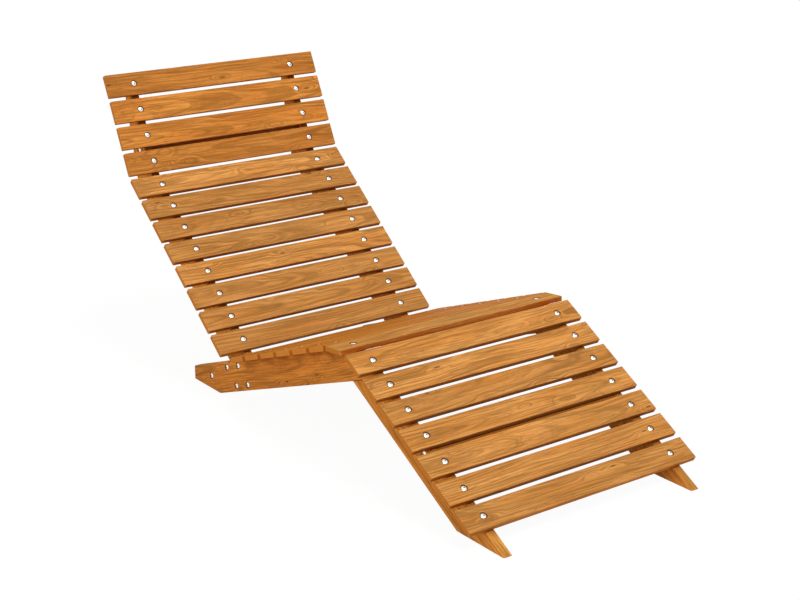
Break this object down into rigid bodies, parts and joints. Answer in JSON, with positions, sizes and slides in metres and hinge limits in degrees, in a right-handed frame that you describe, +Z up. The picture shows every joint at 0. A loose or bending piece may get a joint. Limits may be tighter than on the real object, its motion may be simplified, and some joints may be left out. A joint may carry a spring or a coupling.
{
  "type": "chaise longue",
  "caption": "Wooden slatted chaise longue with a bent head and back rest, a rising seat and a leg rest that slopes down to the ground.",
  "frame": {"origin": "on the ground, in the middle of the overall length and width", "axes": "+X along the length from the head end to the foot end, +Y across to the left of someone who lies on it and looks towards the foot end, +Z up"},
  "size_m": [1.5806, 0.623, 0.7277],
  "materials": {
    "slat_wood": "oiled, satin",
    "frame_wood": "oiled, satin",
    "steel": "polished"
  },
  "bodies": {
    "root": {"head_slat_1": "slat_wood", "head_slat_2": "slat_wood", "head_slat_3": "slat_wood", "head_slat_4": "slat_wood", "back_slat_1": "slat_wood", "back_slat_2": "slat_wood", "back_slat_3": "slat_wood", "back_slat_4": "slat_wood", "back_slat_5": "slat_wood", "back_slat_6": "slat_wood", "back_slat_7": "slat_wood", "back_slat_8": "slat_wood", "seat_slat_1": "slat_wood", "seat_slat_2": "slat_wood", "seat_slat_3": "slat_wood", "seat_slat_4": "slat_wood", "seat_slat_5": "slat_wood", "seat_slat_6": "slat_wood", "knee_slat": "slat_wood", "leg_slat_1": "slat_wood", "leg_slat_2": "slat_wood", "leg_slat_3": "slat_wood", "leg_slat_4": "slat_wood", "leg_slat_5": "slat_wood", "leg_slat_6": "slat_wood", "leg_slat_7": "slat_wood", "head_rail_left": "frame_wood", "head_rail_right": "frame_wood", "back_rail_left": "frame_wood", "back_rail_right": "frame_wood", "seat_rail_left": "frame_wood", "seat_rail_right": "frame_wood", "leg_rail_left": "frame_wood", "leg_rail_right": "frame_wood", "head_stretcher": "frame_wood", "leg_stretcher": "frame_wood", "heel_stretcher": "frame_wood", "head_slat_screws": "steel", "back_slat_screws": "steel", "seat_slat_screws": "steel", "leg_slat_screws": "steel", "stretcher_screws": "steel", "knee_joint_screws": "steel", "neck_joint_screws": "steel", "hip_bolts": "steel", "hip_washers": "steel", "hip_nuts": "steel"}
  },
  "joints": []
}
